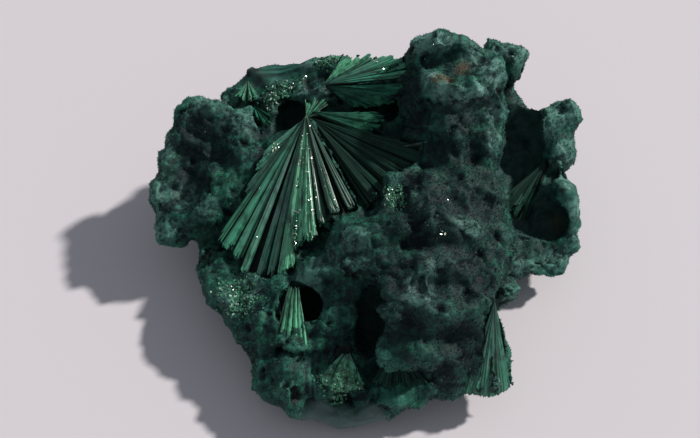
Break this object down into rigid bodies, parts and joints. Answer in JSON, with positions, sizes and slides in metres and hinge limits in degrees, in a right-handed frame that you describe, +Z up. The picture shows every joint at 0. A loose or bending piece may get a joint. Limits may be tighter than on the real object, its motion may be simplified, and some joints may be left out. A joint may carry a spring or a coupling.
{
  "type": "malachite specimen",
  "caption": "Lumpy dark green malachite cluster with velvety knobs and radial sprays of silky blades, resting on a flat break.",
  "frame": {"origin": "on the flat break under the piece, near the middle of the flat", "axes": "+Z up from the break, +X to the right along the longest side, the front with the large spray's fall faces -Y"},
  "size_m": [0.0473, 0.0398, 0.023],
  "materials": {
    "malachite": "dull velvety lumps with silky blades"
  },
  "bodies": {
    "root": {"malachite": "malachite"}
  },
  "joints": []
}
